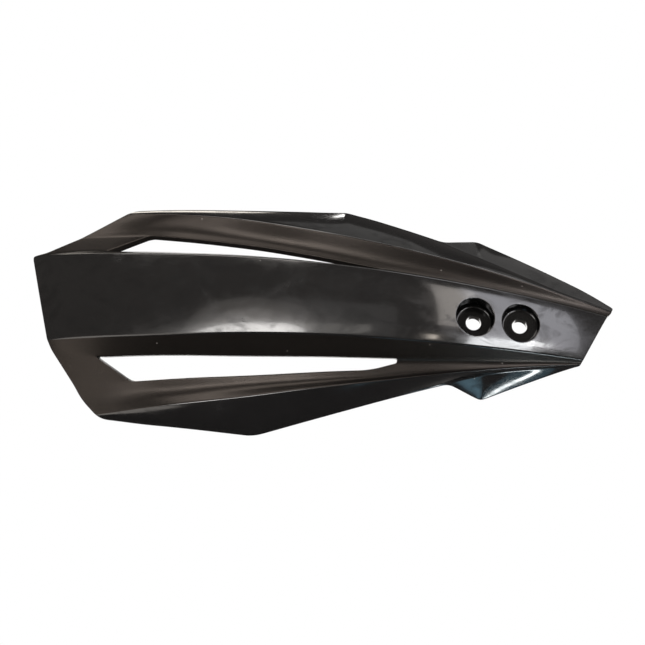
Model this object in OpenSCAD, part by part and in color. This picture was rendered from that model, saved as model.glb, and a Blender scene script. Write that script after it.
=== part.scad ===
// Motorcycle hand guard, right-hand side, one moulding.
// Frame: origin midway between the two bolt holes, on the flat back face of
// their bosses. +X runs along the hole line towards the inboard end, -X to the
// free outboard end. +Y points back towards the hand, so the glossy band faces
// -Y. +Z is up.

/* [Shell] */
// Wall thickness of the moulding
wall = 2.8; // [2.2:0.1:3.2]
// Radius of the bend of the band, seen from above
band_r = 280; // [260:5:320]
// Distance of the band's foremost line from the hole midpoint, outboard
apex_x = 49.6; // [44:0.2:56]
// Band face in front of the boss back face, at the hole midpoint
face_y = 10.8; // [10:0.1:12]
// Forward lean of the band for each millimetre of height
lean = 0.10; // [0.06:0.01:0.14]
// Crown of the band between its two crests
crown = 1.4; // [0.8:0.1:2]

/* [Bolt holes] */
// Centre distance of the two bolt holes
hole_pitch = 20; // [19:0.5:22]
// Diameter of the bolt holes
hole_d = 6.5; // [5.5:0.1:7]
// Diameter of the counterbores for the bolt heads
head_d = 16.4; // [14:0.1:17]
// Thickness of the floor under each bolt head
floor_t = 4; // [3:0.5:5]
// Outer diameter of the bosses behind the counterbores
boss_d = 21.6; // [20.6:0.2:22.4]

/* [Hidden] */

// Line tables: [x, value, half length of the rounding at this corner].
// Each line runs the length of the guard. z_ is its height, d_ its depth
// behind the arc of the band. T lines are above the band, B lines below it.

// free edge of the upper flange, its apex, the notch and the upper tab
z_te = [[-164, 51, 0], [-110, 50.2, 20], [-68, 51.6, 1.5], [-57, 48.8, 4], [-24.5, 39.3, 2.5], [-9.3, 41.3, 2], [41, 21.2, 6], [52.4, 15.5, 0]];
d_te = [[-164, 16, 0], [-111, 22, 30], [-70, 26, 12], [-24, 20, 6], [-8, 20, 6], [46, 6, 3], [52.4, 4, 0]];
// crease between the flange and the upper tab
z_t2 = [[-165.3, 50.3, 0], [-110, 49.4, 20], [-68, 50.6, 1.5], [-57, 47.9, 4], [-24.5, 38.3, 2], [-10, 31.5, 5], [29, 18.3, 6], [51.9, 14.4, 0]];
d_t2 = [[-165.2, 15.3, 0], [-111, 21.4, 30], [-70, 25.2, 12], [-24, 19.2, 3], [-10, 13.6, 4], [2, 11.2, 5], [29, 6.4, 6], [51.9, 3.6, 0]];
// upper ridge, where the matte wing ends
z_t1 = [[-166.7, 49.2, 0], [-120, 44.4, 15], [-60, 34.3, 20], [51.4, 13, 0]];
d_t1 = [[-166.7, 13.8, 0], [-111, 15, 30], [-68, 13, 15], [-8, 7.4, 10], [51.4, 3.1, 0]];
// bottom of the upper gutter
z_tm = [[-178.6, 42.5, 0], [-150, 41.8, 8], [-104, 35.4, 10], [-52, 25.8, 12], [0, 18.4, 10], [50.9, 12.3, 0]];
d_tm = [[-178.6, 10.6, 0], [-145, 15.6, 10], [-104, 17.6, 15], [-52, 14.2, 15], [0, 8.9, 10], [50.9, 3.1, 0]];
// outer side of the upper vent
z_tv = [[-187.5, 37.6, 0], [-155.3, 37.6, 2], [-104, 31.1, 10], [-52, 21.9, 10], [0, 16.6, 10], [50.4, 11.7, 0]];
d_tv = [[-187.5, 7.6, 0], [-155.3, 14, 8], [-104, 17, 15], [-52, 13.6, 15], [0, 8.7, 10], [50.4, 3, 0]];
// foot of the step above the band, inner side of the upper vent
z_tb = [[-202.9, 30.8, 0], [-170, 28.9, 8], [-138, 26.8, 10], [-110, 25.7, 15], [-52, 20.9, 10], [0, 15.4, 10], [49.9, 11, 0]];
d_tb = [[-202.9, 1.4, 0], [-167.6, 7, 8], [-110, 12, 15], [-52, 12, 15], [0, 7.8, 10], [49.9, 2.7, 0]];
// upper crest of the band
z_ct = [[-209.4, 29.9, 0], [-180, 26.9, 10], [-140, 23.3, 20], [49.2, 10, 0]];
d_ct = [[-209.4, 0.4, 0], [-160, 1.4, 20], [10, 1.4, 20], [49.2, 1, 0]];
// lower crest of the band
z_cb = [[-197.8, -10.4, 0], [-150, -13.1, 15], [-20, -12.7, 20], [38.8, -11.4, 0]];
d_cb = [[-197.8, 0.4, 0], [-160, 1.4, 20], [10, 1.4, 20], [38.8, 1, 0]];
// foot of the step below the band, inner side of the lower vent
z_bb = [[-195.4, -15, 0], [-175, -19.3, 6], [-101, -19.8, 20], [-42, -18.1, 10], [0, -15.8, 10], [38.5, -11.85, 0]];
d_bb = [[-195.4, 1.8, 0], [-173, 6.6, 8], [-110, 12, 15], [-52, 12, 15], [0, 7.8, 10], [38.5, 2.3, 0]];
// outer side of the lower vent
z_bv = [[-183.6, -30.6, 0], [-158, -29.7, 3], [-100, -26.8, 20], [-53, -23.4, 5], [-41.5, -19.6, 3], [0, -17.2, 10], [38.3, -12.2, 0]];
d_bv = [[-183.6, 8.2, 0], [-155.3, 13, 8], [-104, 16.6, 15], [-52, 13.4, 15], [0, 8.7, 10], [38.3, 2.8, 0]];
// bottom of the lower gutter
z_bm = [[-179.4, -36.8, 0], [-158, -35.6, 6], [-100, -31.2, 20], [-54, -26.6, 10], [0, -18.9, 10], [38.2, -12.5, 0]];
d_bm = [[-179.4, 11, 0], [-145, 15.4, 10], [-104, 17.4, 15], [-52, 14, 15], [0, 8.9, 10], [38.2, 3.1, 0]];
// lower ridge
z_b1 = [[-172.4, -43.6, 0], [-110, -37.3, 15], [-50, -28.6, 20], [38, -12.8, 0]];
d_b1 = [[-172.4, 13.4, 0], [-104, 15, 30], [-64, 13, 15], [-6, 7.6, 10], [38, 3.2, 0]];
// crease between the lower flange and the lower tab
z_b2 = [[-171, -44.5, 0], [-150, -46.9, 6], [-101.5, -50.9, 4], [-19, -23.9, 2], [-8, -21.9, 4], [3, -19.6, 5], [37.8, -13.05, 0]];
d_b2 = [[-171, 14.4, 0], [-104, 23.3, 20], [-67, 23.3, 15], [-20, 19.2, 3], [-9, 14, 4], [3, 9.6, 5], [37.8, 3.7, 0]];
// free edge of the lower flange and the lower tab
z_be = [[-170, -45.1, 0], [-150, -47.9, 6], [-101.5, -51.8, 4], [-18.5, -24.5, 2.5], [-4.2, -30.3, 1.5], [31.5, -15.2, 4], [37.6, -13.3, 0]];
d_be = [[-170, 15, 0], [-104, 24, 20], [-67, 24, 15], [-20, 20, 6], [-5, 20, 6], [32, 7.6, 4], [37.6, 4.4, 0]];

// [height table, depth table, wall backwards, wall inwards, x at the vents'
// outboard ends] of every line, from the top down. The band is split at equal
// steps between its crests.
LINES = [
    [z_te, d_te, 0.72, 0.72, -140], [z_t2, d_t2, 0.75, 0.7, -141], [z_t1, d_t1, 1, 0.4, -143],
    [z_tm, d_tm, 1, 0.15, -151], [z_tv, d_tv, 0.86, 0.36, -155.3], [z_tb, d_tb, 0.66, 0.78, -174.5],
    [z_ct, d_ct, 1, 0.6, -176.5],
    [z_cb, d_cb, 1, -0.6, -177.5],
    [z_bb, d_bb, 1.2, -0.25, -174.5], [z_bv, d_bv, 0.86, -0.36, -157.8], [z_bm, d_bm, 1, -0.15, -154.5],
    [z_b1, d_b1, 1, -0.4, -149], [z_b2, d_b2, 0.75, -0.7, -147.5], [z_be, d_be, 0.72, -0.72, -147]
];
TOP = 6;        // index of the upper crest
BAND = 4;       // strips across the band
NL = len(LINES);
NC = NL + BAND - 1;
VENT_T = 4;             // strip of the upper vent
VENT_B = TOP + BAND + 1; // strip of the lower vent

// Stations along the guard: 0 is the outboard edge, 0.13 the outboard ends of
// the vents, 0.3 to 0.88 the middle, where a station is a plane of equal x, and
// 1 the inboard edge.
function steps(a, b, n) = [for (k = [0:n - 1]) a + (b - a) * k / n];
MID = [-110, -104, -98, -92, -86, -80, -74, -68, -62, -57, -52, -47, -42, -36, -30, -26, -23,
       -20, -17, -14, -11, -8.5, -6.5, -4.5, -2, 2, 7, 12, 17];
MID_FROM = -110;
MID_TO = 22;
U = concat(steps(0, 0.13, 6), steps(0.13, 0.3, 9),
    [for (x = MID) 0.3 + 0.58 * (x - MID_FROM) / (MID_TO - MID_FROM)], steps(0.88, 1, 8), [1]);
NR = len(U);
VENT_FROM = 6;
T_TO = 15 + search(-52, MID)[0];
B_TO = 15 + search(-42, MID)[0];

// Straight runs of a table with rounded corners.
function ramp(d, w) = w <= 0 ? max(d, 0) : d <= -w ? 0 : d >= w ? d : (d + w) * (d + w) / (4 * w);
function slope(t, k) = (t[k + 1][1] - t[k][1]) / (t[k + 1][0] - t[k][0]);
function bends(t, x, k) = k >= len(t) - 1 ? 0
    : (slope(t, k) - slope(t, k - 1)) * ramp(x - t[k][0], t[k][2]) + bends(t, x, k + 1);
function line_at(t, x) = t[0][1] + slope(t, 0) * (x - t[0][0]) + bends(t, x, 1);

// Arc of the band at height 0.
function arc_y(x) = -face_y - (band_r - sqrt(band_r * band_r - apex_x * apex_x))
    + band_r - sqrt(band_r * band_r - (x + apex_x) * (x + apex_x));
// Unit vector backwards, square to the arc.
function back_at(x) = [-(x + apex_x) / band_r, sqrt(1 - pow((x + apex_x) / band_r, 2)), 0];

function first_x(t) = t[0][0];
function last_x(t) = t[len(t) - 1][0];
function mix(a, b, f) = a + (b - a) * f;
function line_x(l, u) = u < 0.13 ? mix(first_x(l[0]), l[4], u / 0.13)
    : u < 0.3 ? mix(l[4], MID_FROM, (u - 0.13) / 0.17)
    : u < 0.88 ? mix(MID_FROM, MID_TO, (u - 0.3) / 0.58)
    : mix(MID_TO, last_x(l[0]), (u - 0.88) / 0.12);
// Near the inboard end, where the lines run together, the wall is set off evenly.
function even(u) = max(0, min(1, (u - 0.76) / 0.2));
// [x, z, depth, wall backwards, wall inwards] of line l at station u
function line_pt(l, u) = let (x = line_x(l, u), e = even(u))
    [x, line_at(l[0], x), line_at(l[1], x), l[2] * (1 - e) + e, l[3] * (1 - e) + 0.35 * sign(l[3]) * e];
// the same for strip line j, where the band is crowned between its crests
function strip_pt(j, u) =
    j <= TOP ? line_pt(LINES[j], u)
    : j >= TOP + BAND ? line_pt(LINES[j - BAND + 1], u)
    : let (s = (j - TOP) / BAND, a = line_pt(LINES[TOP], u), b = line_pt(LINES[TOP + 1], u),
           m = a + (b - a) * s)
      [m[0], m[1], m[2] - (crown * 4 * s * (1 - s)), m[3], m[4]];
function outer_pt(p) = [p[0], arc_y(p[0]) - lean * p[1] + p[2], p[1]];
function inner_pt(p) = outer_pt(p) + wall * p[3] * back_at(p[0]) + [0, 0, -wall * p[4]];

GRID = [for (u = U) for (j = [0:NC - 1]) strip_pt(j, u)];
POINTS = concat([for (p = GRID) outer_pt(p)], [for (p = GRID) inner_pt(p)]);

function o(i, j) = i * NC + j;
function n(i, j) = NR * NC + i * NC + j;
// A cell of the shell is solid, except inside the two vents.
function solid(i, j) = i >= 0 && j >= 0 && i < NR - 1 && j < NC - 1
    && !(j == VENT_T && i >= VENT_FROM && i < T_TO)
    && !(j == VENT_B && i >= VENT_FROM && i < B_TO);
function rim(a, b) = [[o(b[0], b[1]), o(a[0], a[1]), n(a[0], a[1])],
                      [o(b[0], b[1]), n(a[0], a[1]), n(b[0], b[1])]];
FACES = [for (i = [0:NR - 2]) for (j = [0:NC - 2]) if (solid(i, j))
    for (f = concat(
        [[o(i, j), o(i + 1, j), o(i + 1, j + 1)], [o(i, j), o(i + 1, j + 1), o(i, j + 1)],
         [n(i, j), n(i + 1, j + 1), n(i + 1, j)], [n(i, j), n(i, j + 1), n(i + 1, j + 1)]],
        solid(i, j - 1) ? [] : rim([i, j], [i + 1, j]),
        solid(i + 1, j) ? [] : rim([i + 1, j], [i + 1, j + 1]),
        solid(i, j + 1) ? [] : rim([i + 1, j + 1], [i, j + 1]),
        solid(i - 1, j) ? [] : rim([i, j + 1], [i, j]))) f];

// Cylinder along Y between two depths.
module y_cylinder(d, y0, y1) {
    translate([0, y1, 0]) rotate([90, 0, 0]) cylinder(d = d, h = y1 - y0, $fn = 96);
}

// The moulded wall with its band, wings, flanges, tabs and two vents.
module shell() {
    polyhedron(points = POINTS, faces = FACES, convexity = 12);
}

// Two bosses run into one, flat at the back, buried in the wall of the band.
module bosses() {
    intersection() {
        union() {
            for (s = [-1, 1]) translate([s * hole_pitch / 2, 0, 0]) y_cylinder(boss_d, -16, 0);
            translate([-hole_pitch / 2, -16, -boss_d / 2]) cube([hole_pitch, 16, boss_d]);
        }
        translate([-apex_x, arc_y(-apex_x) + band_r, 0]) rotate([atan(lean), 0, 0])
            translate([0, 0, -40]) cylinder(r = (band_r - 1.9) * cos(atan(lean)), h = 80, $fn = 256);
    }
}

module guard_shell() {
    color("#26252a") difference() {
        union() {
            shell();
            bosses();
        }
        for (s = [-1, 1]) translate([s * hole_pitch / 2, 0, 0]) {
            y_cylinder(hole_d, -6, 2);
            y_cylinder(head_d, -24, -floor_t);
        }
    }
}

guard_shell();
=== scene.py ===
import math

import bpy
import numpy as np
from mathutils import Matrix, Vector
from mathutils.geometry import delaunay_2d_cdt


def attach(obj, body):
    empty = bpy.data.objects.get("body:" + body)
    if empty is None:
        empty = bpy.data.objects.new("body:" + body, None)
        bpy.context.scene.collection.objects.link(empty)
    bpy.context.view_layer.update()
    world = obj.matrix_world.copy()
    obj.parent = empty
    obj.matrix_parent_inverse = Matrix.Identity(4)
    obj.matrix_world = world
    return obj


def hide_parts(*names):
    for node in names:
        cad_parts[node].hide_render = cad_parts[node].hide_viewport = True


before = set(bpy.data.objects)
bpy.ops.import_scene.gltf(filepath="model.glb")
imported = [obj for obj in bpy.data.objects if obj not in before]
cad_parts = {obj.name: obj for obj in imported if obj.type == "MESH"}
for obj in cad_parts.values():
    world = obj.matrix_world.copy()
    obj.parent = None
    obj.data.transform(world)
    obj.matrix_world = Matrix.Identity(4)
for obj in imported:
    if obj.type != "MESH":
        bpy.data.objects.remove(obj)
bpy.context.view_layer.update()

# ---------------------------------------------------------------------------
# The shape, in millimetres in the row frame: the same lines as the CAD shell,
# with rounded creases, a crowned band, edge fillets and finished bores.
# ---------------------------------------------------------------------------
WALL, ARC_R, APEX, FACE, LEAN, CROWN, FULL = 2.8, 280.0, 49.6, 10.8, 0.10, 1.385, 0.045
PITCH, HOLE_R, HEAD_R, FLOOR_Y, BOSS_R = 20.0, 3.25, 8.2, -4.0, 10.8

Z = {
    "te": [[-164, 51, 0], [-110, 50.2, 20], [-68, 51.6, 1.5], [-57, 48.8, 4], [-24.5, 39.3, 2.5], [-9.3, 41.3, 2], [41, 21.2, 6], [52.4, 15.5, 0]],
    "t2": [[-165.3, 50.3, 0], [-110, 49.4, 20], [-68, 50.6, 1.5], [-57, 47.9, 4], [-24.5, 38.3, 2], [-10, 31.5, 5], [29, 18.3, 6], [51.9, 14.4, 0]],
    "t1": [[-166.7, 49.2, 0], [-120, 44.4, 15], [-60, 34.3, 20], [51.4, 13, 0]],
    "tm": [[-178.6, 42.5, 0], [-150, 41.8, 8], [-104, 35.4, 10], [-52, 25.8, 12], [0, 18.4, 10], [50.9, 12.3, 0]],
    "tv": [[-187.5, 37.6, 0], [-155.3, 37.6, 2], [-104, 31.1, 10], [-52, 21.9, 10], [0, 16.6, 10], [50.4, 11.7, 0]],
    "tb": [[-202.9, 30.8, 0], [-170, 28.9, 8], [-138, 26.8, 10], [-110, 25.7, 15], [-52, 20.9, 10], [0, 15.4, 10], [49.9, 11, 0]],
    "ct": [[-209.4, 29.9, 0], [-180, 26.9, 10], [-140, 23.3, 20], [49.2, 10, 0]],
    "cb": [[-197.8, -10.4, 0], [-150, -13.1, 15], [-20, -12.7, 20], [38.8, -11.4, 0]],
    "bb": [[-195.4, -15, 0], [-175, -19.3, 6], [-101, -19.8, 20], [-42, -18.1, 10], [0, -15.8, 10], [38.5, -11.85, 0]],
    "bv": [[-183.6, -30.6, 0], [-158, -29.7, 3], [-100, -26.8, 20], [-53, -23.4, 5], [-41.5, -19.6, 3], [0, -17.2, 10], [38.3, -12.2, 0]],
    "bm": [[-179.4, -36.8, 0], [-158, -35.6, 6], [-100, -31.2, 20], [-54, -26.6, 10], [0, -18.9, 10], [38.2, -12.5, 0]],
    "b1": [[-172.4, -43.6, 0], [-110, -37.3, 15], [-50, -28.6, 20], [38, -12.8, 0]],
    "b2": [[-171, -44.5, 0], [-150, -46.9, 6], [-101.5, -50.9, 4], [-19, -23.9, 2], [-8, -21.9, 4], [3, -19.6, 5], [37.8, -13.05, 0]],
    "be": [[-170, -45.1, 0], [-150, -47.9, 6], [-101.5, -51.8, 4], [-18.5, -24.5, 2.5], [-4.2, -30.3, 1.5], [31.5, -15.2, 4], [37.6, -13.3, 0]],
}
D = {
    "te": [[-164, 16, 0], [-111, 22, 30], [-70, 26, 12], [-24, 20, 6], [-8, 20, 6], [46, 6, 3], [52.4, 4, 0]],
    "t2": [[-165.2, 15.3, 0], [-111, 21.4, 30], [-70, 25.2, 12], [-24, 19.2, 3], [-10, 13.6, 4], [2, 11.2, 5], [29, 6.4, 6], [51.9, 3.6, 0]],
    "t1": [[-166.7, 13.8, 0], [-111, 15, 30], [-68, 13, 15], [-8, 7.4, 10], [51.4, 3.1, 0]],
    "tm": [[-178.6, 10.6, 0], [-145, 15.6, 10], [-104, 17.6, 15], [-52, 14.2, 15], [0, 8.9, 10], [50.9, 3.1, 0]],
    "tv": [[-187.5, 7.6, 0], [-155.3, 14, 8], [-104, 17, 15], [-52, 13.6, 15], [0, 8.7, 10], [50.4, 3, 0]],
    "tb": [[-202.9, 1.4, 0], [-167.6, 7, 8], [-110, 12, 15], [-52, 12, 15], [0, 7.8, 10], [49.9, 2.7, 0]],
    "ct": [[-209.4, 0.4, 0], [-160, 1.4, 20], [10, 1.4, 20], [49.2, 1, 0]],
    "cb": [[-197.8, 0.4, 0], [-160, 1.4, 20], [10, 1.4, 20], [38.8, 1, 0]],
    "bb": [[-195.4, 1.8, 0], [-173, 6.6, 8], [-110, 12, 15], [-52, 12, 15], [0, 7.8, 10], [38.5, 2.3, 0]],
    "bv": [[-183.6, 8.2, 0], [-155.3, 13, 8], [-104, 16.6, 15], [-52, 13.4, 15], [0, 8.7, 10], [38.3, 2.8, 0]],
    "bm": [[-179.4, 11, 0], [-145, 15.4, 10], [-104, 17.4, 15], [-52, 14, 15], [0, 8.9, 10], [38.2, 3.1, 0]],
    "b1": [[-172.4, 13.4, 0], [-104, 15, 30], [-64, 13, 15], [-6, 7.6, 10], [38, 3.2, 0]],
    "b2": [[-171, 14.4, 0], [-104, 23.3, 20], [-67, 23.3, 15], [-20, 19.2, 3], [-9, 14, 4], [3, 9.6, 5], [37.8, 3.7, 0]],
    "be": [[-170, 15, 0], [-104, 24, 20], [-67, 24, 15], [-20, 20, 6], [-5, 20, 6], [32, 7.6, 4], [37.6, 4.4, 0]],
}
# name, wall backwards, wall inwards, x at the vents' outboard ends,
# half width of the rounding of the crease, segments of that rounding
LINES = [
    ("te", 0.72, 0.72, -140.0, 0.0, 0), ("t2", 0.75, 0.7, -141.0, 0.8, 4),
    ("t1", 1.0, 0.4, -143.0, 0.6, 4), ("tm", 1.0, 0.15, -151.0, 5.0, 8),
    ("tv", 0.86, 0.36, -155.3, 1.6, 4), ("tb", 0.66, 0.78, -174.5, 2.2, 6),
    ("ct", 1.0, 0.6, -176.5, 0.6, 6),
    ("cb", 1.0, -0.6, -177.5, 0.6, 6),
    ("bb", 1.2, -0.25, -174.5, 2.2, 6), ("bv", 0.86, -0.36, -157.8, 1.6, 4),
    ("bm", 1.0, -0.15, -154.5, 5.0, 8), ("b1", 1.0, -0.4, -149.0, 0.6, 4),
    ("b2", 0.75, -0.7, -147.5, 0.8, 4), ("be", 0.72, -0.72, -147.0, 0.0, 0),
]
STRIPS = [7, 8, 3, 3, 7, 5, 26, 5, 8, 3, 3, 8, 7]      # segments between the creases
NAMES = [l[0] for l in LINES]
K_CT, K_TV, K_TB, K_BB, K_BV = 6, 4, 5, 8, 9


def ramp(d, w):
    if w <= 0:
        return np.maximum(d, 0.0)
    return np.where(d <= -w, 0.0, np.where(d >= w, d, (d + w) ** 2 / (4 * w)))


def line_at(t, x):
    x = np.asarray(x, float)
    s = [(t[k + 1][1] - t[k][1]) / (t[k + 1][0] - t[k][0]) for k in range(len(t) - 1)]
    r = t[0][1] + s[0] * (x - t[0][0])
    for k in range(1, len(t) - 1):
        r = r + (s[k] - s[k - 1]) * ramp(x - t[k][0], t[k][2])
    return r


def arc_y(x):
    return -FACE - (ARC_R - math.sqrt(ARC_R ** 2 - APEX ** 2)) + ARC_R - np.sqrt(ARC_R ** 2 - (np.asarray(x, float) + APEX) ** 2)


MID = 132.0 / 0.58          # millimetres of x for each unit of u in the middle


def line_x(k, u):
    x0, x1, xa = Z[NAMES[k]][0][0], Z[NAMES[k]][-1][0], LINES[k][3]
    if u <= 0.13:
        return x0 + (xa - x0) * u / 0.13
    if u < 0.3:
        t = (u - 0.13) / 0.17
        m0, m1 = (xa - x0) / 0.13 * 0.17, MID * 0.17
        return ((2 * t ** 3 - 3 * t ** 2 + 1) * xa + (t ** 3 - 2 * t ** 2 + t) * m0
                + (-2 * t ** 3 + 3 * t ** 2) * -110.0 + (t ** 3 - t ** 2) * m1)
    if u <= 0.88:
        return -110.0 + MID * (u - 0.3)
    t = (u - 0.88) / 0.12
    a = MID * 0.12 / (x1 - 22.0)
    return 22.0 + (x1 - 22.0) * (a * t + (1 - a) * t * t)


def line_points(u):
    """x, z, depth, wall backwards and wall inwards of every line at one station."""
    e = min(1.0, max(0.0, (u - 0.76) / 0.2))
    rows = []
    for k, (name, a, b, _, _, _) in enumerate(LINES):
        x = line_x(k, u)
        rows.append([x, float(line_at(Z[name], x)), float(line_at(D[name], x)),
                     a * (1 - e) + e, b * (1 - e) + 0.35 * math.copysign(1, b) * e])
    return np.array(rows)


def outer(v):
    return np.stack([v[..., 0], arc_y(v[..., 0]) - LEAN * v[..., 1] + v[..., 2], v[..., 1]], -1)


def inner(v):
    k = (v[..., 0] + APEX) / ARC_R
    p = outer(v)
    off = WALL * v[..., 3]
    return p + np.stack([-k * off, np.sqrt(1 - k * k) * off, -WALL * v[..., 4]], -1)


def station(u, open_top, open_bot):
    """The profile at one station, rounded at its creases. Where a vent is open
    its two sides are edges, not creases."""
    v = line_points(u)
    p = outer(v)
    length = np.linalg.norm(p[1:] - p[:-1], axis=1)
    w = [l[4] for l in LINES]

    def on(k, f):
        q = v[k] * (1 - f) + v[k + 1] * f
        if k == K_CT:
            q = q.copy()
            q[2] -= CROWN * 4 * f * (1 - f)
        if k in (1, 11) or (k in (0, 12) and length[k] > 4.0):
            # the flanges and the tabs are slightly full, like the band
            q = q.copy()
            side = v[k + 1, 1:3] - v[k, 1:3]
            full = min(FULL * (length[k] if k in (1, 11) else length[k] - 4.0), 0.7) * 4 * f * (1 - f) / np.linalg.norm(side)
            q[1] -= side[1] * full
            q[2] += side[0] * full
        return q

    # the narrow strips beside the free edges leave room for the round of the edge
    fa = [min(w[k] / length[k], 0.2 if k == 12 else 0.45) for k in range(13)]
    fb = [1 - min(w[k + 1] / length[k], 0.2 if k == 0 else 0.45) for k in range(13)]
    out = []
    for k in range(13):
        if k > 0:
            a, c, b = on(k - 1, fb[k - 1]), v[k], on(k, fa[k])
            n = LINES[k][5]
            flat = open_top if k in (K_TV, K_TB) else open_bot if k in (K_BB, K_BV) else 0.0
            for m in range(n):
                t = m / n
                q = a * (1 - t) ** 2 + c * 2 * t * (1 - t) + b * t * t
                if flat > 0:
                    s = a * (1 - 2 * t) + c * 2 * t if t < 0.5 else c * (2 - 2 * t) + b * (2 * t - 1)
                    q = q * (1 - flat) + s * flat
                out.append(q)
        n = STRIPS[k]
        for m in range(n):
            f = m / n
            if m > 0 and k in (0, 12):
                first = min(0.95 / length[k], 0.8 * (fb[k] - fa[k])) / (fb[k] - fa[k])
                f = first + (1 - first) * (m - 1) / (n - 1) if k == 0 else (1 - first) * m / (n - 1)
            out.append(on(k, fa[k] + (fb[k] - fa[k]) * f))
    out.append(v[13])
    return np.array(out)


def column(name):
    """Index of the column on a line."""
    j = 0
    for k in range(14):
        n = LINES[k][5]
        if NAMES[k] == name:
            return j + n // 2
        j += n + (STRIPS[k] if k < 13 else 0)


def mid_u(x):
    return 0.3 + (x + 110.0) / MID


def spread(a, b, n):
    return [a + (b - a) * k / n for k in range(n)]


U = (spread(0.0, 0.13, 26) + spread(0.13, 0.3, 46) + spread(0.3, mid_u(-52), 48)
     + spread(mid_u(-52), mid_u(-42), 8) + spread(mid_u(-42), 0.88, 54) + spread(0.88, 1.0, 24) + [1.0])
NR = len(U)
I_VENT, I_TOP, I_BOT = 26, 26 + 46 + 48, 26 + 46 + 48 + 8


def smooth(t):
    t = min(1.0, max(0.0, t))
    return t * t * (3 - 2 * t)


def openness(i, end):
    d = max(I_VENT - i, i - end, 0)
    return 1.0 - smooth(d / 4.0)


V = np.array([station(U[i], openness(i, I_TOP), openness(i, I_BOT)) for i in range(NR)])
O, N = outer(V), inner(V)
NC = V.shape[1]
J = {name: column(name) for name in NAMES}

solid = np.ones((NR - 1, NC - 1), bool)
solid[I_VENT:I_TOP, J["tv"]:J["tb"]] = False
solid[I_VENT:I_BOT, J["bb"]:J["bv"]] = False


def loops(mask):
    """Closed edge loops of the cells in mask, running the way the outer faces do."""
    nxt = {}
    for i in range(mask.shape[0]):
        for j in range(mask.shape[1]):
            if not mask[i, j]:
                continue
            for a, b, ni, nj in (((i, j), (i, j + 1), i - 1, j), ((i, j + 1), (i + 1, j + 1), i, j + 1),
                                 ((i + 1, j + 1), (i + 1, j), i + 1, j), ((i + 1, j), (i, j), i, j - 1)):
                if not (0 <= ni < mask.shape[0] and 0 <= nj < mask.shape[1] and mask[ni, nj]):
                    nxt[a] = b
    found = []
    while nxt:
        start = min(nxt)
        ring, at = [], start
        while at in nxt:
            ring.append(at)
            at = nxt.pop(at)
        found.append(ring)
    return found


EDGES = loops(solid)          # outline and the two vents
IJ = [np.array(r) for r in EDGES]


def round_corner(ring, corner, before, after):
    """Rounds one corner of an edge loop, and lets the skin beside it follow."""
    c = ring.index(corner)
    n = len(ring)
    for G in (O, N):
        moved = {}
        pc = G[corner].copy()

        def walk(step, reach):
            s, k, seen = 0.0, c, [(c, 0.0)]
            while s < reach and len(seen) < n // 3:
                q = (k + step) % n
                s += float(np.linalg.norm(G[ring[q]] - G[ring[k]]))
                seen.append((q, s))
                k = q
            (ka, sa), (kb, sb) = seen[-2], seen[-1]
            f = (reach - sa) / max(sb - sa, 1e-9)
            return G[ring[ka]] * (1 - f) + G[ring[kb]] * f, seen[:-1]

        pa, sa = walk(-1, before)
        pb, sb = walk(1, after)
        for side, seen, reach in ((0, sa, before), (1, sb, after)):
            for k, s in seen:
                t = 0.5 - 0.5 * s / reach if side == 0 else 0.5 + 0.5 * s / reach
                moved[ring[k]] = pa * (1 - t) ** 2 + pc * 2 * t * (1 - t) + pb * t * t
        keys = list(moved)
        src = np.array([G[k] for k in keys])
        dis = np.array([moved[k] for k in keys]) - src
        i0, i1 = max(0, min(k[0] for k in keys) - 12), min(NR, max(k[0] for k in keys) + 13)
        j0, j1 = max(0, min(k[1] for k in keys) - 14), min(NC, max(k[1] for k in keys) + 15)
        on_edge = set(ring)
        reach = 1.6 * max(before, after)
        for i in range(i0, i1):
            for j in range(j0, j1):
                if (i, j) in on_edge:
                    continue
                dist = np.linalg.norm(src - G[i, j], axis=1)
                near = dist.min()
                if near > reach:
                    continue
                wt = 1.0 / (dist + 1e-4) ** 3
                G[i, j] += (dis * wt[:, None]).sum(0) / wt.sum() * (1 - smooth(near / reach))
        for k, p in moved.items():
            G[k] = p


for ring in EDGES:
    names = {(I_VENT, J["tv"]): (2.0, 2.0), (I_VENT, J["tb"]): (0.6, 0.6), (I_TOP, J["tv"]): (1.6, 0.45), (I_TOP, J["tb"]): (0.45, 1.6),
             (I_VENT, J["bb"]): (1.2, 1.2), (I_VENT, J["bv"]): (2.6, 2.6), (I_BOT, J["bb"]): (1.4, 0.45), (I_BOT, J["bv"]): (0.45, 1.4),
             (0, 0): (4.0, 4.0), (0, NC - 1): (4.0, 4.0), (0, J["ct"]): (1.5, 1.5), (NR - 1, 0): (0.8, 0.8), (NR - 1, NC - 1): (0.8, 0.8)}
    for corner, (a, b) in names.items():
        if corner in ring:
            # the loop may pass the corner in either sense, so both sides take the smaller reach where they differ
            if corner in ((I_TOP, J["tv"]), (I_TOP, J["tb"]), (I_BOT, J["bb"]), (I_BOT, J["bv"])):
                k = ring.index(corner)
                along = ring[(k - 1) % len(ring)][1] == corner[1]      # came along the vent's side
                long_, short = max(a, b), min(a, b)
                a, b = (long_, short) if along else (short, long_)
            round_corner(ring, corner, a, b)

# ---------------------------------------------------------------------------
# Faces
# ---------------------------------------------------------------------------
verts, faces, mats = [], [], []
# the last slot is a darker copy of the gloss black for the bores: painted shade in the recesses
GLOSS, MATTE, INNER, BORE_SHADE = 0, 1, 2, 3
fixed_normal = {}


def add(p):
    verts.append([float(c) for c in p])
    return len(verts) - 1


def face(ids, mat):
    faces.append(tuple(ids))
    mats.append(mat)


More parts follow.
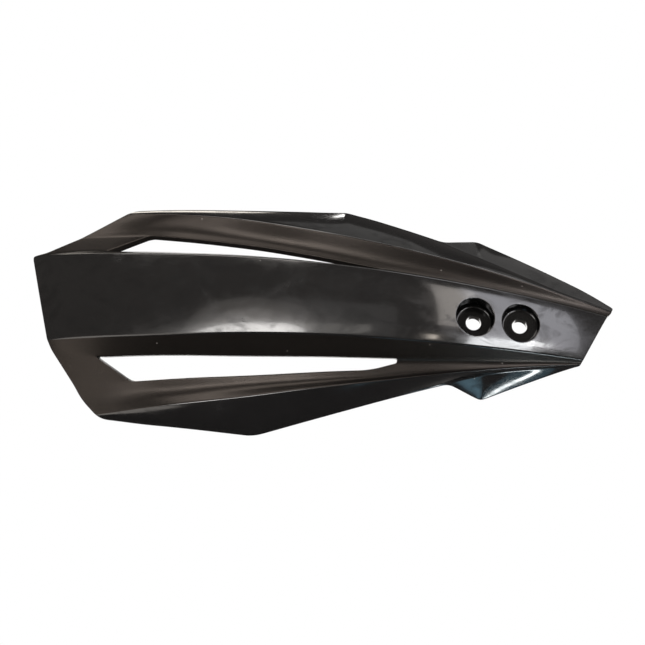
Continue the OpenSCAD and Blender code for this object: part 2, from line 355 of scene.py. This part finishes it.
# front patch of the band round the counterbores, and back patch round the bosses
X = V[:, J["ct"], 0]
i_lo = max(i for i in range(NR) if X[i] <= -21.0)
i_hi = min(i for i in range(NR) if X[i] >= 20.6)
j_lo, j_hi = J["ct"] + 3 + 1, J["cb"] - 3 - 1
front_patch = np.zeros_like(solid)
front_patch[i_lo:i_hi, j_lo:j_hi] = True
b_lo = max(i for i in range(NR) if X[i] <= -23.5)
b_hi = min(i for i in range(NR) if X[i] >= 24.5)
c_lo, c_hi = J["tb"] + 5, J["bb"] - 5
back_patch = np.zeros_like(solid)
back_patch[b_lo:b_hi, c_lo:c_hi] = True

oid = -np.ones((NR, NC), int)
nid = -np.ones((NR, NC), int)


def used(mask):
    m = np.zeros((NR, NC), bool)
    m[:-1, :-1] |= mask
    m[1:, :-1] |= mask
    m[:-1, 1:] |= mask
    m[1:, 1:] |= mask
    return m


for i, j in np.argwhere(used(solid & ~front_patch)):
    oid[i, j] = add(O[i, j])
for i, j in np.argwhere(used(solid)):
    nid[i, j] = add(N[i, j])

j_matte0, j_matte1 = J["t1"], J["ct"] - 3          # upper wing
j_matte2, j_matte3 = J["cb"] + 3, J["b1"]          # lower wing


def outer_mat(j):
    return MATTE if j_matte0 <= j < j_matte1 or j_matte2 <= j < j_matte3 else GLOSS


for i in range(NR - 1):
    for j in range(NC - 1):
        if not solid[i, j]:
            continue
        if not front_patch[i, j]:
            face((oid[i, j], oid[i, j + 1], oid[i + 1, j + 1], oid[i + 1, j]), outer_mat(j))
        if not back_patch[i, j]:
            face((nid[i, j], nid[i + 1, j], nid[i + 1, j + 1], nid[i, j + 1]), INNER)

# --- edges of the moulding: a small outer round, the wall, a smaller inner round
R_OUT, R_IN = 0.5, 0.35


def unit(v):
    return v / max(float(np.linalg.norm(v)), 1e-12)


def edge_strip(ring):
    n = len(ring)
    on_edge = set(ring)
    rings = []
    data = []
    for k, (i, j) in enumerate(ring):
        row = []
        for G, r in ((O, R_OUT), (N, R_IN)):
            t = unit(G[ring[(k + 1) % n]] - G[ring[k - 1]])
            cells, beside = [], []
            for a in (i - 1, i):
                for b in (j - 1, j):
                    if 0 <= a < NR - 1 and 0 <= b < NC - 1 and solid[a, b]:
                        cells.append((G[a, b] + G[a + 1, b] + G[a, b + 1] + G[a + 1, b + 1]) / 4)
                        beside += [G[c] for c in ((a, b), (a + 1, b), (a, b + 1), (a + 1, b + 1)) if c not in on_edge]
            v = np.mean([unit(c - G[i, j]) for c in cells], axis=0)
            v = unit(v - t * float(v @ t))
            near = min([max(0.02, float((q - G[i, j]) @ v)) for q in beside] or [0.1])
            row.append((G[i, j].copy(), v, min(r, 0.62 * near)))
        data.append(row)
    # an even radius along the loop
    for s in (0, 1):
        r = np.array([d[s][2] for d in data])
        for _ in range(6):
            r = np.minimum(r, (np.roll(r, 1) + r + np.roll(r, -1)) / 3 + 0.02)
        for k in range(n):
            data[k][s] = (data[k][s][0], data[k][s][1], float(r[k]))
    stack = [[] for _ in range(2 + 4 + 4 - 1)]
    for k, (i, j) in enumerate(ring):
        (p, vi, r0), (q, wi, r1) = data[k]
        wall = unit(q - p)
        a, b = p + vi * r0, p + wall * r0
        verts[oid[i, j]] = list(a)
        c, d = q - wall * r1, q + wi * r1
        verts[nid[i, j]] = list(d)
        pts = [a * (1 - t) ** 2 + p * 2 * t * (1 - t) + b * t * t for t in (0.25, 0.5, 0.75, 1.0)]
        pts += [c * (1 - t) ** 2 + q * 2 * t * (1 - t) + d * t * t for t in (0.0, 0.25, 0.5, 0.75)]
        stack[0].append(oid[i, j])
        for m, s in enumerate(pts):
            stack[m + 1].append(add(s))
    stack = stack[:9] + [[nid[i, j] for i, j in ring]]
    for m in range(len(stack) - 1):
        for k in range(n):
            a, b = k, (k + 1) % n
            j = min(ring[a][1], ring[b][1])
            vent = not (0 in (ring[a][0], ring[b][0]) or NR - 1 in (ring[a][0], ring[b][0]) or ring[a][1] in (0, NC - 1) or ring[b][1] in (0, NC - 1))
            mat = MATTE if vent else outer_mat(min(max(j, 0), NC - 2))
            face((stack[m][b], stack[m][a], stack[m + 1][a], stack[m + 1][b]), mat if m < 5 else INNER)


for ring in EDGES:
    edge_strip(ring)


# --- counterbores, seen from the front
def band_y(x, z):
    zt, zb = line_at(Z["ct"], x), line_at(Z["cb"], x)
    s = (zt - z) / (zt - zb)
    d = line_at(D["ct"], x) * (1 - s) + line_at(D["cb"], x) * s - CROWN * 4 * s * (1 - s)
    return arc_y(x) - LEAN * z + d


def band_normal(x, z, h=0.02):
    gx = (band_y(x + h, z) - band_y(x - h, z)) / (2 * h)
    gz = (band_y(x, z + h) - band_y(x, z - h)) / (2 * h)
    return unit(np.array([float(gx), -1.0, float(gz)]))


SEG = 96
ANG = [2 * math.pi * k / SEG for k in range(SEG)]
patch_loop = loops(front_patch)[0]
coords = [(float(O[i, j][0]), float(O[i, j][2])) for i, j in patch_loop]
owner = [oid[i, j] for i, j in patch_loop]
cdt_edges = []
mouths = []
R_MOUTH = HEAD_R + 0.5
for sgn in (-1, 1):
    cx = sgn * PITCH / 2
    for r in (R_MOUTH, R_MOUTH + 0.55):
        first = len(coords)
        ids = []
        for t in ANG:
            x, z = cx + r * math.cos(t), r * math.sin(t)
            ids.append(add((x, float(band_y(x, z)), z)))
            fixed_normal[ids[-1]] = band_normal(x, z)
            coords.append((x, z))
            owner.append(ids[-1])
        if r == R_MOUTH:
            mouths.append((cx, ids))
            cdt_edges += [(first + k, first + (k + 1) % SEG) for k in range(SEG)]
for i in range(i_lo + 1, i_hi):
    for j in range(j_lo + 1, j_hi):
        x, _, z = O[i, j]
        if min(math.hypot(x - PITCH / 2, z), math.hypot(x + PITCH / 2, z)) > R_MOUTH + 1.15:
            coords.append((float(x), float(z)))
            owner.append(add((x, float(band_y(x, z)), z)))
            fixed_normal[owner[-1]] = band_normal(x, z)
for i in range(i_lo - 3, i_hi + 1):
    for j in range(j_lo, j_hi + 1):
        if oid[i, j] >= 0 and i >= 0 and O[i, j][0] <= 22.0:
            fixed_normal[oid[i, j]] = band_normal(O[i, j][0], O[i, j][2])
vc, _, tris, orig, _, forig = delaunay_2d_cdt([Vector(c) for c in coords], cdt_edges, [list(range(len(patch_loop)))], 0, 1e-7, True)
for t, fo in zip(tris, forig):
    if not fo:
        continue
    q = [owner[orig[k][0]] for k in t]
    p = np.array([verts[k] for k in q])
    cx_, cz_ = p[:, 0].mean(), p[:, 2].mean()
    if min(math.hypot(cx_ - PITCH / 2, cz_), math.hypot(cx_ + PITCH / 2, cz_)) < R_MOUTH - 0.01:
        continue
    area = (p[1, 0] - p[0, 0]) * (p[2, 2] - p[0, 2]) - (p[2, 0] - p[0, 0]) * (p[1, 2] - p[0, 2])
    if abs(area) < 1e-9:
        continue
    face(q if area > 0 else q[::-1], GLOSS)

# profile of a bore behind its mouth: radius, y, from the front to the back
R_FOOT, R_LIP = 1.25, 0.25
foot = [(HEAD_R - R_FOOT * (1 - math.cos(a)), FLOOR_Y - R_FOOT * (1 - math.sin(a))) for a in [math.pi / 2 * k / 6 for k in range(7)]]
lip_in = [(HOLE_R + R_LIP * (1 - math.sin(a)), FLOOR_Y + R_LIP * (1 - math.cos(a))) for a in [math.pi / 2 * k / 3 for k in range(4)]]
lip_out = [(HOLE_R + R_LIP * (1 - math.cos(a)), -R_LIP * (1 - math.sin(a))) for a in [math.pi / 2 * k / 3 for k in range(4)]]
back_rings = []
for cx, ids in mouths:
    prev = ids

    def ring_to(prev, nxt, mat):
        for k in range(SEG):
            m = (k + 1) % SEG
            face((prev[k], prev[m], nxt[m], nxt[k]), mat)
        return nxt

    # the mouth is rounded from the band's own surface into the bore
    for f in (0.25, 0.5, 0.75, 1.0):
        nxt = []
        for t in ANG:
            c, s = math.cos(t), math.sin(t)
            a = np.array([cx + R_MOUTH * c, float(band_y(cx + R_MOUTH * c, R_MOUTH * s)), R_MOUTH * s])
            m = np.array([cx + HEAD_R * c, float(band_y(cx + HEAD_R * c, HEAD_R * s)), HEAD_R * s])
            b = m + np.array([0, 0.5, 0])
            nxt.append(add(a * (1 - f) ** 2 + m * 2 * f * (1 - f) + b * f * f))
        prev = ring_to(prev, nxt, GLOSS)
    for r, y in foot + [((HEAD_R - R_FOOT + HOLE_R + R_LIP) / 2, FLOOR_Y)] + lip_in + lip_out:
        # the bore's walls and floor take the darker gloss black, painted shade in the recess
        prev = ring_to(prev, [add((cx + r * math.cos(t), y, r * math.sin(t))) for t in ANG], BORE_SHADE)
    back_rings.append(prev)

# --- bosses, seen from the back: their outline is cut into the inner skin
quads, pool, key = [], [], {}
for i in range(b_lo, b_hi + 1):
    for j in range(c_lo, c_hi + 1):
        key[i, j] = len(pool)
        pool.append((i, j))
coords = [(float(N[i, j][0]), float(N[i, j][2])) for i, j in pool]
for i in range(b_lo, b_hi):
    for j in range(c_lo, c_hi):
        quads.append([key[i, j], key[i, j + 1], key[i + 1, j + 1], key[i + 1, j]])
grid_n = len(coords)
H = PITCH / 2
outline = [(H + BOSS_R * math.cos(-math.pi / 2 + math.pi * k / 40), BOSS_R * math.sin(-math.pi / 2 + math.pi * k / 40)) for k in range(41)]
outline += [(H - PITCH * k / 16, BOSS_R) for k in range(1, 16)]
outline += [(-H + BOSS_R * math.cos(math.pi / 2 + math.pi * k / 40), BOSS_R * math.sin(math.pi / 2 + math.pi * k / 40)) for k in range(41)]
outline += [(-H + PITCH * k / 16, -BOSS_R) for k in range(1, 16)]
coords += outline
m = len(outline)
vc, _, tris, orig, _, forig = delaunay_2d_cdt([Vector(c) for c in coords], [(grid_n + k, grid_n + (k + 1) % m) for k in range(m)], quads, 0, 1e-6, True)
tri_a = np.array([[q[0], q[1], q[2]] for q in quads] + [[q[0], q[2], q[3]] for q in quads])
gp = np.array([N[i, j] for i, j in pool])


def skin_y(x, z):
    a, b, c = gp[tri_a[:, 0]], gp[tri_a[:, 1]], gp[tri_a[:, 2]]
    den = (b[:, 2] - c[:, 2]) * (a[:, 0] - c[:, 0]) + (c[:, 0] - b[:, 0]) * (a[:, 2] - c[:, 2])
    den = np.where(np.abs(den) < 1e-12, 1e-12, den)
    l0 = ((b[:, 2] - c[:, 2]) * (x - c[:, 0]) + (c[:, 0] - b[:, 0]) * (z - c[:, 2])) / den
    l1 = ((c[:, 2] - a[:, 2]) * (x - c[:, 0]) + (a[:, 0] - c[:, 0]) * (z - c[:, 2])) / den
    l2 = 1 - l0 - l1
    k = int(np.argmax(np.minimum(np.minimum(l0, l1), l2)))
    return float(l0[k] * a[k, 1] + l1[k] * b[k, 1] + l2[k] * c[k, 1])


def in_boss(x, z, grow=0.0):
    return math.hypot(max(abs(x) - H, 0.0), z) < BOSS_R + grow


back_id = {}
for k, c in enumerate(vc):
    src = [o for o in orig[k] if o < grid_n]
    if src:
        i, j = pool[src[0]]
        if nid[i, j] >= 0:
            back_id[k] = nid[i, j]
            continue
    back_id[k] = None
kept = []
for t, fo in zip(tris, forig):
    if not fo:
        continue
    cx_ = sum(vc[k][0] for k in t) / 3
    cz_ = sum(vc[k][1] for k in t) / 3
    if in_boss(cx_, cz_, -0.012):
        continue
    ids = []
    for k in t:
        if back_id[k] is None:
            back_id[k] = add((vc[k][0], skin_y(vc[k][0], vc[k][1]), vc[k][1]))
        ids.append(back_id[k])
    area = (vc[t[1]][0] - vc[t[0]][0]) * (vc[t[2]][1] - vc[t[0]][1]) - (vc[t[2]][0] - vc[t[0]][0]) * (vc[t[1]][1] - vc[t[0]][1])
    if abs(area) < 1e-12:
        continue
    ids = ids if area < 0 else ids[::-1]
    kept.append(ids)
    face(ids, INNER)
directed = {(a, b) for q in kept for a, b in zip(q, q[1:] + q[:1])}
patch_edge = set()
for ring in loops(back_patch):
    g = [nid[i, j] for i, j in ring]
    patch_edge |= set(zip(g, g[1:] + g[:1])) | set(zip(g[1:] + g[:1], g))
nxt = {a: b for a, b in directed if (b, a) not in directed and (a, b) not in patch_edge}
start = min(nxt)
boss, at = [], start
while True:
    boss.append(at)
    at = nxt[at]
    if at == start:
        break
assert len(boss) == len(nxt), (len(boss), len(nxt))
prev = boss
R_BOSS = 0.5
flat = [np.array(verts[k]) for k in boss]
for f in (0.0, 0.25, 0.5, 0.75, 1.0):
    new = []
    for p in flat:
        c = np.array([max(-H, min(H, p[0])), 0.0, 0.0])
        d = unit(np.array([p[0] - c[0], 0.0, p[2]]))
        edge = np.array([c[0], 0.0, 0.0]) + d * BOSS_R
        a, b = edge + np.array([0, -R_BOSS, 0]), edge - d * R_BOSS
        new.append(add(a * (1 - f) ** 2 + edge * 2 * f * (1 - f) + b * f * f))
    for k in range(len(prev)):
        m = (k + 1) % len(prev)
        face((prev[m], prev[k], new[k], new[m]), INNER)
    prev = new
coords = [(verts[k][0], verts[k][2]) for k in prev]
owner = list(prev)
cdt_edges = [(k, (k + 1) % len(prev)) for k in range(len(prev))]
for ring in back_rings:
    first = len(coords)
    coords += [(verts[k][0], verts[k][2]) for k in ring]
    owner += ring
    cdt_edges += [(first + k, first + (k + 1) % SEG) for k in range(SEG)]
vc, _, tris, orig, _, _ = delaunay_2d_cdt([Vector(c) for c in coords], cdt_edges, [], 0, 1e-7, True)
for t in tris:
    q = [owner[orig[k][0]] for k in t]
    p = np.array([verts[k] for k in q])
    cx_, cz_ = p[:, 0].mean(), p[:, 2].mean()
    if min(math.hypot(cx_ - H, cz_), math.hypot(cx_ + H, cz_)) < HOLE_R + R_LIP - 0.003 or not in_boss(cx_, cz_, -R_BOSS + 0.002):
        continue
    area = (p[1, 0] - p[0, 0]) * (p[2, 2] - p[0, 2]) - (p[2, 0] - p[0, 0]) * (p[1, 2] - p[0, 2])
    if abs(area) < 1e-9:
        continue
    face(q if area < 0 else q[::-1], INNER)


def make_mesh(name, scale=0.001):
    live = sorted({k for f in faces for k in f})
    new = {k: n for n, k in enumerate(live)}
    me = bpy.data.meshes.new(name)
    me.from_pydata([[c * scale for c in verts[k]] for k in live], [], [tuple(new[k] for k in f) for f in faces])
    me.polygons.foreach_set("material_index", mats)
    me.polygons.foreach_set("use_smooth", [True] * len(faces))
    p = np.array([verts[k] for k in live])
    nrm = np.zeros_like(p)
    for f in faces:
        ids = [new[k] for k in f]
        q = p[ids]
        a = np.cross(q[2] - q[0], q[3] - q[1]) if len(ids) == 4 else np.cross(q[1] - q[0], q[2] - q[0])
        nrm[ids] += a
    nrm /= np.maximum(np.linalg.norm(nrm, axis=1, keepdims=True), 1e-12)
    for k, v in fixed_normal.items():
        if k in new:
            nrm[new[k]] = v
    me.update()
    me.normals_split_custom_set_from_vertices([tuple(v) for v in nrm])
    return me


mesh = make_mesh("guard_shell_visual")
guard = bpy.data.objects.new("guard_shell_visual", mesh)
bpy.context.scene.collection.objects.link(guard)

# ---------------------------------------------------------------------------
# Materials: one black plastic, polished on the band and flanges, fine grained
# on the wings, plain satin on the back, and a darker copy of it in the counterbores as painted shade
# ---------------------------------------------------------------------------


class Nodes:
    def __init__(self, name):
        self.mat = bpy.data.materials.new(name)
        self.mat.use_nodes = True
        self.t = self.mat.node_tree
        self.bsdf = self.t.nodes["Principled BSDF"]
        self.pos = self.t.nodes.new("ShaderNodeTexCoord").outputs["Object"]

    def noise(self, scale, detail=2.0, rough=0.5, distortion=0.0, stretch=None, offset=(0, 0, 0)):
        vec = self.pos
        if stretch or offset != (0, 0, 0):
            m = self.t.nodes.new("ShaderNodeMapping")
            m.inputs["Scale"].default_value = stretch or (1, 1, 1)
            m.inputs["Location"].default_value = offset
            self.t.links.new(vec, m.inputs["Vector"])
            vec = m.outputs["Vector"]
        n = self.t.nodes.new("ShaderNodeTexNoise")
        n.inputs["Scale"].default_value = scale
        n.inputs["Detail"].default_value = detail
        n.inputs["Roughness"].default_value = rough
        n.inputs["Distortion"].default_value = distortion
        self.t.links.new(vec, n.inputs["Vector"])
        return n.outputs["Fac"]

    def specks(self, scale, size):
        v = self.t.nodes.new("ShaderNodeTexVoronoi")
        v.inputs["Scale"].default_value = scale
        self.t.links.new(self.pos, v.inputs["Vector"])
        # a cell shows a speck only if its own random value is high
        pick = self.map(self.red(v.outputs["Color"]), 0.93, 0.94, 0, 1)
        dot = self.map(v.outputs["Distance"], size, size * 0.5, 0, 1)
        return self.math("MULTIPLY", pick, dot)

    def red(self, colour):
        n = self.t.nodes.new("ShaderNodeSeparateColor")
        self.t.links.new(colour, n.inputs["Color"])
        return n.outputs["Red"]

    def map(self, value, a, b, c, d):
        n = self.t.nodes.new("ShaderNodeMapRange")
        for k, x in (("From Min", a), ("From Max", b), ("To Min", c), ("To Max", d)):
            n.inputs[k].default_value = x
        self.t.links.new(value, n.inputs["Value"])
        return n.outputs["Result"]

    def math(self, op, a, b):
        n = self.t.nodes.new("ShaderNodeMath")
        n.operation = op
        for k, x in enumerate((a, b)):
            if isinstance(x, (int, float)):
                n.inputs[k].default_value = x
            else:
                self.t.links.new(x, n.inputs[k])
        return n.outputs["Value"]

    def colour(self, fac, a, b):
        n = self.t.nodes.new("ShaderNodeMix")
        n.data_type = "RGBA"
        n.inputs["A"].default_value = (*a, 1)
        n.inputs["B"].default_value = (*b, 1)
        self.t.links.new(fac, n.inputs["Factor"])
        return n.outputs["Result"]

    def mix(self, fac, a, b):
        n = self.t.nodes.new("ShaderNodeMix")
        n.data_type = "RGBA"
        self.t.links.new(a, n.inputs["A"])
        n.inputs["B"].default_value = (*b, 1)
        self.t.links.new(fac, n.inputs["Factor"])
        return n.outputs["Result"]

    def bump(self, height, distance, strength, under=None):
        n = self.t.nodes.new("ShaderNodeBump")
        n.inputs["Distance"].default_value = distance
        n.inputs["Strength"].default_value = strength
        self.t.links.new(height, n.inputs["Height"])
        if under is not None:
            self.t.links.new(under, n.inputs["Normal"])
        return n.outputs["Normal"]

    def use(self, **inputs):
        for k, x in inputs.items():
            s = self.bsdf.inputs[k.replace("_", " ").title().replace("Ior", "IOR")]
            if isinstance(x, (int, float)):
                s.default_value = x
            else:
                self.t.links.new(x, s)
        return self.mat


def gloss(name, dark, light, rough, smear, wave, coat, shine):
    n = Nodes(name)
    dust = n.specks(260.0, 0.07)
    smudge = n.map(n.noise(34.0, 5.0, 0.62, 1.4, stretch=(1.0, 1.0, 1.7)), 0.42, 0.68, 0.0, 1.0)
    fine = n.noise(420.0, 3.0, 0.6)
    # wiped finger marks: drawn-out streaks that dull the polish
    wipe = n.map(n.noise(52.0, 4.0, 0.58, 2.2, stretch=(0.9, 1.0, 1.8), offset=(0.31, 0.0, 0.17)), 0.50, 0.64, 0.0, 1.0)
    r = n.math("ADD", n.math("MULTIPLY", smudge, smear), rough)
    r = n.math("ADD", r, n.math("MULTIPLY", wipe, smear * 0.9))
    r = n.math("ADD", r, n.map(fine, 0.3, 0.7, -0.012, 0.012))
    r = n.math("ADD", r, n.math("MULTIPLY", dust, 0.3))
    tone = n.colour(n.noise(90.0, 2.0), dark, light)
    tone = n.mix(dust, tone, (0.10, 0.095, 0.09))
    flow = n.bump(n.noise(26.0, 1.0, 0.4, stretch=(0.8, 1.0, 1.3)), 0.00045, wave)
    peel = n.bump(n.noise(520.0, 2.0, 0.5), 0.000012, 0.35, flow)
    n.bsdf.inputs["IOR"].default_value = 1.5
    n.bsdf.inputs["Coat Weight"].default_value = coat
    n.bsdf.inputs["Coat Roughness"].default_value = 0.04
    return n.use(base_color=tone, roughness=r, normal=peel, specular_ior_level=n.map(wipe, 0.0, 1.0, shine, shine * 0.62))


def matte(name, dark, light, rough, grain, depth, shine):
    n = Nodes(name)
    dust = n.specks(280.0, 0.09)
    cloud = n.noise(48.0, 3.0, 0.55)
    speckle = n.noise(grain * 1.35, 2.0, 0.6)
    tone = n.colour(n.math("ADD", n.math("MULTIPLY", cloud, 0.6), n.math("MULTIPLY", speckle, 0.4)), dark, light)
    tone = n.mix(dust, tone, (0.14, 0.13, 0.12))
    r = n.math("ADD", n.map(speckle, 0.3, 0.7, rough - 0.05, rough + 0.05), n.map(cloud, 0.3, 0.7, -0.02, 0.03))
    g = n.bump(n.noise(grain, 3.0, 0.55), depth, 0.55)
    n.bsdf.inputs["IOR"].default_value = 1.5
    n.bsdf.inputs["Specular IOR Level"].default_value = shine
    n.bsdf.inputs["Specular Tint"].default_value = (1.0, 0.87, 0.78, 1)
    return n.use(base_color=tone, roughness=r, normal=g)


mesh.materials.append(gloss("gloss_black", (0.0022, 0.0021, 0.0021), (0.0032, 0.0030, 0.0030), 0.10, 0.10, 0.35, 0.25, 0.5))
mesh.materials.append(matte("grained_black", (0.0022, 0.0019, 0.0017), (0.0038, 0.0033, 0.0029), 0.31, 2400.0, 0.00006, 0.27))
mesh.materials.append(matte("satin_back", (0.0065, 0.0063, 0.0061), (0.0100, 0.0097, 0.0093), 0.40, 1500.0, 0.00004, 0.5))
# the same polished black plastic in the counterbores, its base colour darkened as painted shade in the recess
mesh.materials.append(gloss("bore_black_painted_shade", (0.0010, 0.0010, 0.0010), (0.0016, 0.0015, 0.0015), 0.08, 0.02, 0.1, 0.0, 0.34))

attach(guard, "root")
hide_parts("guard_shell")

# ---------------------------------------------------------------------------
# Camera at the photograph's angle
# ---------------------------------------------------------------------------
AZ, EL, ROLL = 0.0, math.radians(-20.0), math.radians(4.2)
back = Vector((math.sin(AZ) * math.cos(EL), -math.cos(AZ) * math.cos(EL), math.sin(EL)))
right = Vector((math.cos(AZ), math.sin(AZ), 0.0))
up = back.cross(right)
r_ = right * math.cos(ROLL) + up * math.sin(ROLL)
u_ = -right * math.sin(ROLL) + up * math.cos(ROLL)
cam_data = bpy.data.cameras.new("camera")
cam = bpy.data.objects.new("camera", cam_data)
bpy.context.scene.collection.objects.link(cam)
m3 = Matrix((r_, u_, back)).transposed()
cam.matrix_world = Matrix.Translation(Vector((-0.075157, -0.754193, -0.277906))) @ m3.to_4x4()
cam_data.sensor_width = 36.0
cam_data.lens = 103.19
cam_data.clip_start, cam_data.clip_end = 0.01, 50.0
bpy.context.scene.camera = cam

# ---------------------------------------------------------------------------
# Stage and light: white surroundings, a pale floor well below, soft cards
# ---------------------------------------------------------------------------
scene = bpy.context.scene
scene.view_settings.view_transform = "Standard"
world = bpy.data.worlds.new("studio")
scene.world = world
world.use_nodes = True
wt = world.node_tree
bg = wt.nodes["Background"]
# the room: dark below, soft and warm grey in front and above
look = wt.nodes.new("ShaderNodeTexCoord")
split = wt.nodes.new("ShaderNodeSeparateXYZ")
wt.links.new(look.outputs["Generated"], split.inputs["Vector"])
height = wt.nodes.new("ShaderNodeMapRange")
for k, x in (("From Min", -1.0), ("From Max", 1.0), ("To Min", 0.0), ("To Max", 1.0)):
    height.inputs[k].default_value = x
wt.links.new(split.outputs["Z"], height.inputs["Value"])
room = wt.nodes.new("ShaderNodeValToRGB")
room.name = "room"
stops = [(0.20, (0.09, 0.085, 0.083)), (0.42, (0.23, 0.214, 0.20)), (0.66, (0.27, 0.25, 0.232)), (0.90, (0.12, 0.113, 0.108))]
while len(room.color_ramp.elements) < len(stops):
    room.color_ramp.elements.new(0.5)
for e, (at, c) in zip(room.color_ramp.elements, stops):
    e.position = at
    e.color = (*c, 1)
wt.links.new(height.outputs["Result"], room.inputs["Fac"])
wt.links.new(room.outputs["Color"], bg.inputs["Color"])
bg.inputs["Strength"].default_value = 1.0
white = wt.nodes.new("ShaderNodeBackground")
white.inputs["Color"].default_value = (1, 1, 1, 1)
white.inputs["Strength"].default_value = 1.0
path = wt.nodes.new("ShaderNodeLightPath")
pick = wt.nodes.new("ShaderNodeMixShader")
wt.links.new(path.outputs["Is Camera Ray"], pick.inputs["Fac"])
wt.links.new(bg.outputs["Background"], pick.inputs[1])
wt.links.new(white.outputs["Background"], pick.inputs[2])
wt.links.new(pick.outputs["Shader"], wt.nodes["World Output"].inputs["Surface"])

floor_mesh = bpy.data.meshes.new("floor")
S = 12.0
floor_mesh.from_pydata([(-S, -S, -0.62), (S, -S, -0.62), (S, S, -0.62), (-S, S, -0.62)], [], [(0, 1, 2, 3)])
floor = bpy.data.objects.new("floor", floor_mesh)
scene.collection.objects.link(floor)
fm = bpy.data.materials.new("pale_floor")
fm.use_nodes = True
fm.node_tree.nodes["Principled BSDF"].inputs["Base Color"].default_value = (0.86, 0.86, 0.85, 1)
fm.node_tree.nodes["Principled BSDF"].inputs["Roughness"].default_value = 0.8
fm.node_tree.nodes["Principled BSDF"].inputs["Emission Color"].default_value = (1.0, 0.995, 0.985, 1)
fm.node_tree.nodes["Principled BSDF"].inputs["Emission Strength"].default_value = 0.42
floor_mesh.materials.append(fm)
floor.visible_glossy = False


def card(name, at, az, el, dist, wide, high, radiance, colour=(1, 1, 1), spin=0.0, spread=180.0, soft=0.0, oval=False):
    """A soft light panel seen from the point `at` (mm) in direction az, el
    (az 0 is the front, + towards +X). wide and high are its angular sizes.
    A soft edge is three panels, one inside the other."""
    a, e = math.radians(az), math.radians(el)
    way = Vector((math.sin(a) * math.cos(e), -math.cos(a) * math.cos(e), math.sin(e)))
    q = way.to_track_quat("Z", "Y") @ Matrix.Rotation(math.radians(spin), 4, "Z").to_quaternion()
    steps = (1.0, 0.0, -1.0) if soft else (0.0,)
    for k, s in enumerate(steps):
        w = 2 * dist * math.tan(math.radians(wide / 2 + s * soft / 2))
        h = 2 * dist * math.tan(math.radians(high / 2 + s * soft / 2))
        d = bpy.data.lights.new(name + "_%d" % k, "AREA")
        d.shape = "ELLIPSE" if oval else "RECTANGLE"
        d.size, d.size_y = w, h
        d.energy = radiance / len(steps) * math.pi * w * h * (math.pi / 4 if oval else 1.0)
        d.color = colour
        d.spread = math.radians(spread)
        o = bpy.data.objects.new(d.name, d)
        scene.collection.objects.link(o)
        o.rotation_mode = "QUATERNION"
        o.rotation_quaternion = q
        o.location = Vector(at) / 1000 + way * dist
        o.visible_camera = False


# in front: a lamp low on the left, its long low edge, and the haze above it
card("front_low", (-107, -14, -8), -26.0, -10.0, 0.9, 22, 7.5, 38.0, (1.0, 0.98, 0.96), soft=5.0, oval=True)
card("front_edge", (-107, -14, -8), -26, -8.6, 0.9, 54, 4, 4.3, (1.0, 0.95, 0.89), soft=2.5)
card("front_haze", (-107, -14, -8), -25, -4.5, 0.9, 18, 14, 2.2, (1.0, 0.94, 0.88), soft=12.0, oval=True)
card("front_haze_core", (-107, -14, -8), -25, -5.5, 0.9, 13.5, 10, 3.2, (1.0, 0.95, 0.9), soft=7.0, oval=True)
card("left_low", (-150, 0, -20), -62, -27, 0.9, 44, 24, 2.2, (1.0, 0.93, 0.86))
card("front_mid", (-50, -14, 4), -8, -4, 0.9, 15, 12, 1.0, (1.0, 0.98, 0.97), soft=11.0)
# in front of the mount: a warm panel, a cool one, and a lamp below them
card("mount_warm", (-14, -11, 0), 17, 13, 0.9, 8, 28, 12.5, (1.0, 0.93, 0.87), soft=2.0)
card("mount_cool", (10, -9, 0), 31, 10, 0.9, 20, 35, 14.0, (0.93, 0.93, 1.0), soft=4.0)
card("mount_spot", (2, -9, -10), 26, -13, 0.9, 11, 9, 50.0, (0.97, 0.98, 1.0), soft=3.0)
card("mount_lamp", (17, -6, -8), 33, -7, 0.9, 3.0, 4.0, 48.0, (1.0, 1.0, 1.0))
card("mount_glint", (-28, -12, -11), 12, -10, 0.9, 2.5, 3.0, 12.0, (1.0, 0.9, 0.78))
card("crease_line", (-40, 0, 35), 8, 54, 0.9, 44, 9, 5.0, (1.0, 0.97, 0.93))
# above: the key on the left, a beige wall behind, grey panels over the flange
card("top_key", (-130, 0, 10), -36, 42, 1.0, 40, 22, 5.8, (1.0, 0.95, 0.9))
card("top_mount", (0, -10, 10), 24, 46, 0.9, 30, 20, 2.4, (0.95, 0.95, 1.0))
card("top_back_left", (-140, 8, 50), -156, 52, 0.9, 22, 18, 3.4, (1.0, 0.93, 0.83))
card("top_high", (-50, 0, 40), 20, 80, 0.9, 18, 22, 1.35, (1.0, 0.99, 0.97), soft=3.0)
card("apex_glint", (-70, 4, 48), -170, 73.5, 0.1, 4, 4, 12.0, (1.0, 0.98, 0.95))
card("top_right", (16, 4, 30), 66, 60, 0.7, 28, 26, 1.7, (1.0, 0.98, 0.96), soft=4.0)
# behind: soft light for the back, out of sight of the front faces
card("back_fill", (-80, 20, 0), 168, 20, 1.4, 80, 44, 2.2, (1.0, 0.99, 0.97))
card("back_left", (-120, 20, 0), -128, -4, 1.4, 34, 40, 1.6, (0.97, 0.98, 1.0))
# below the right end: a teal reflection and a bright strip
card("under_right", (12, 8, -24), 90, -68, 0.15, 30, 26, 0.42, (0.42, 0.78, 1.0), spread=70.0, soft=6.0)
card("under_left", (4, 8, -34), -32, -68, 0.12, 20, 20, 0.52, (0.42, 0.78, 1.0), spread=50.0, soft=6.0)
card("under_streak", (12, 8, -24), 83, -65, 0.15, 3.2, 24, 8.0, (0.95, 1.0, 1.0), spin=-18.0, spread=60.0, soft=1.5)
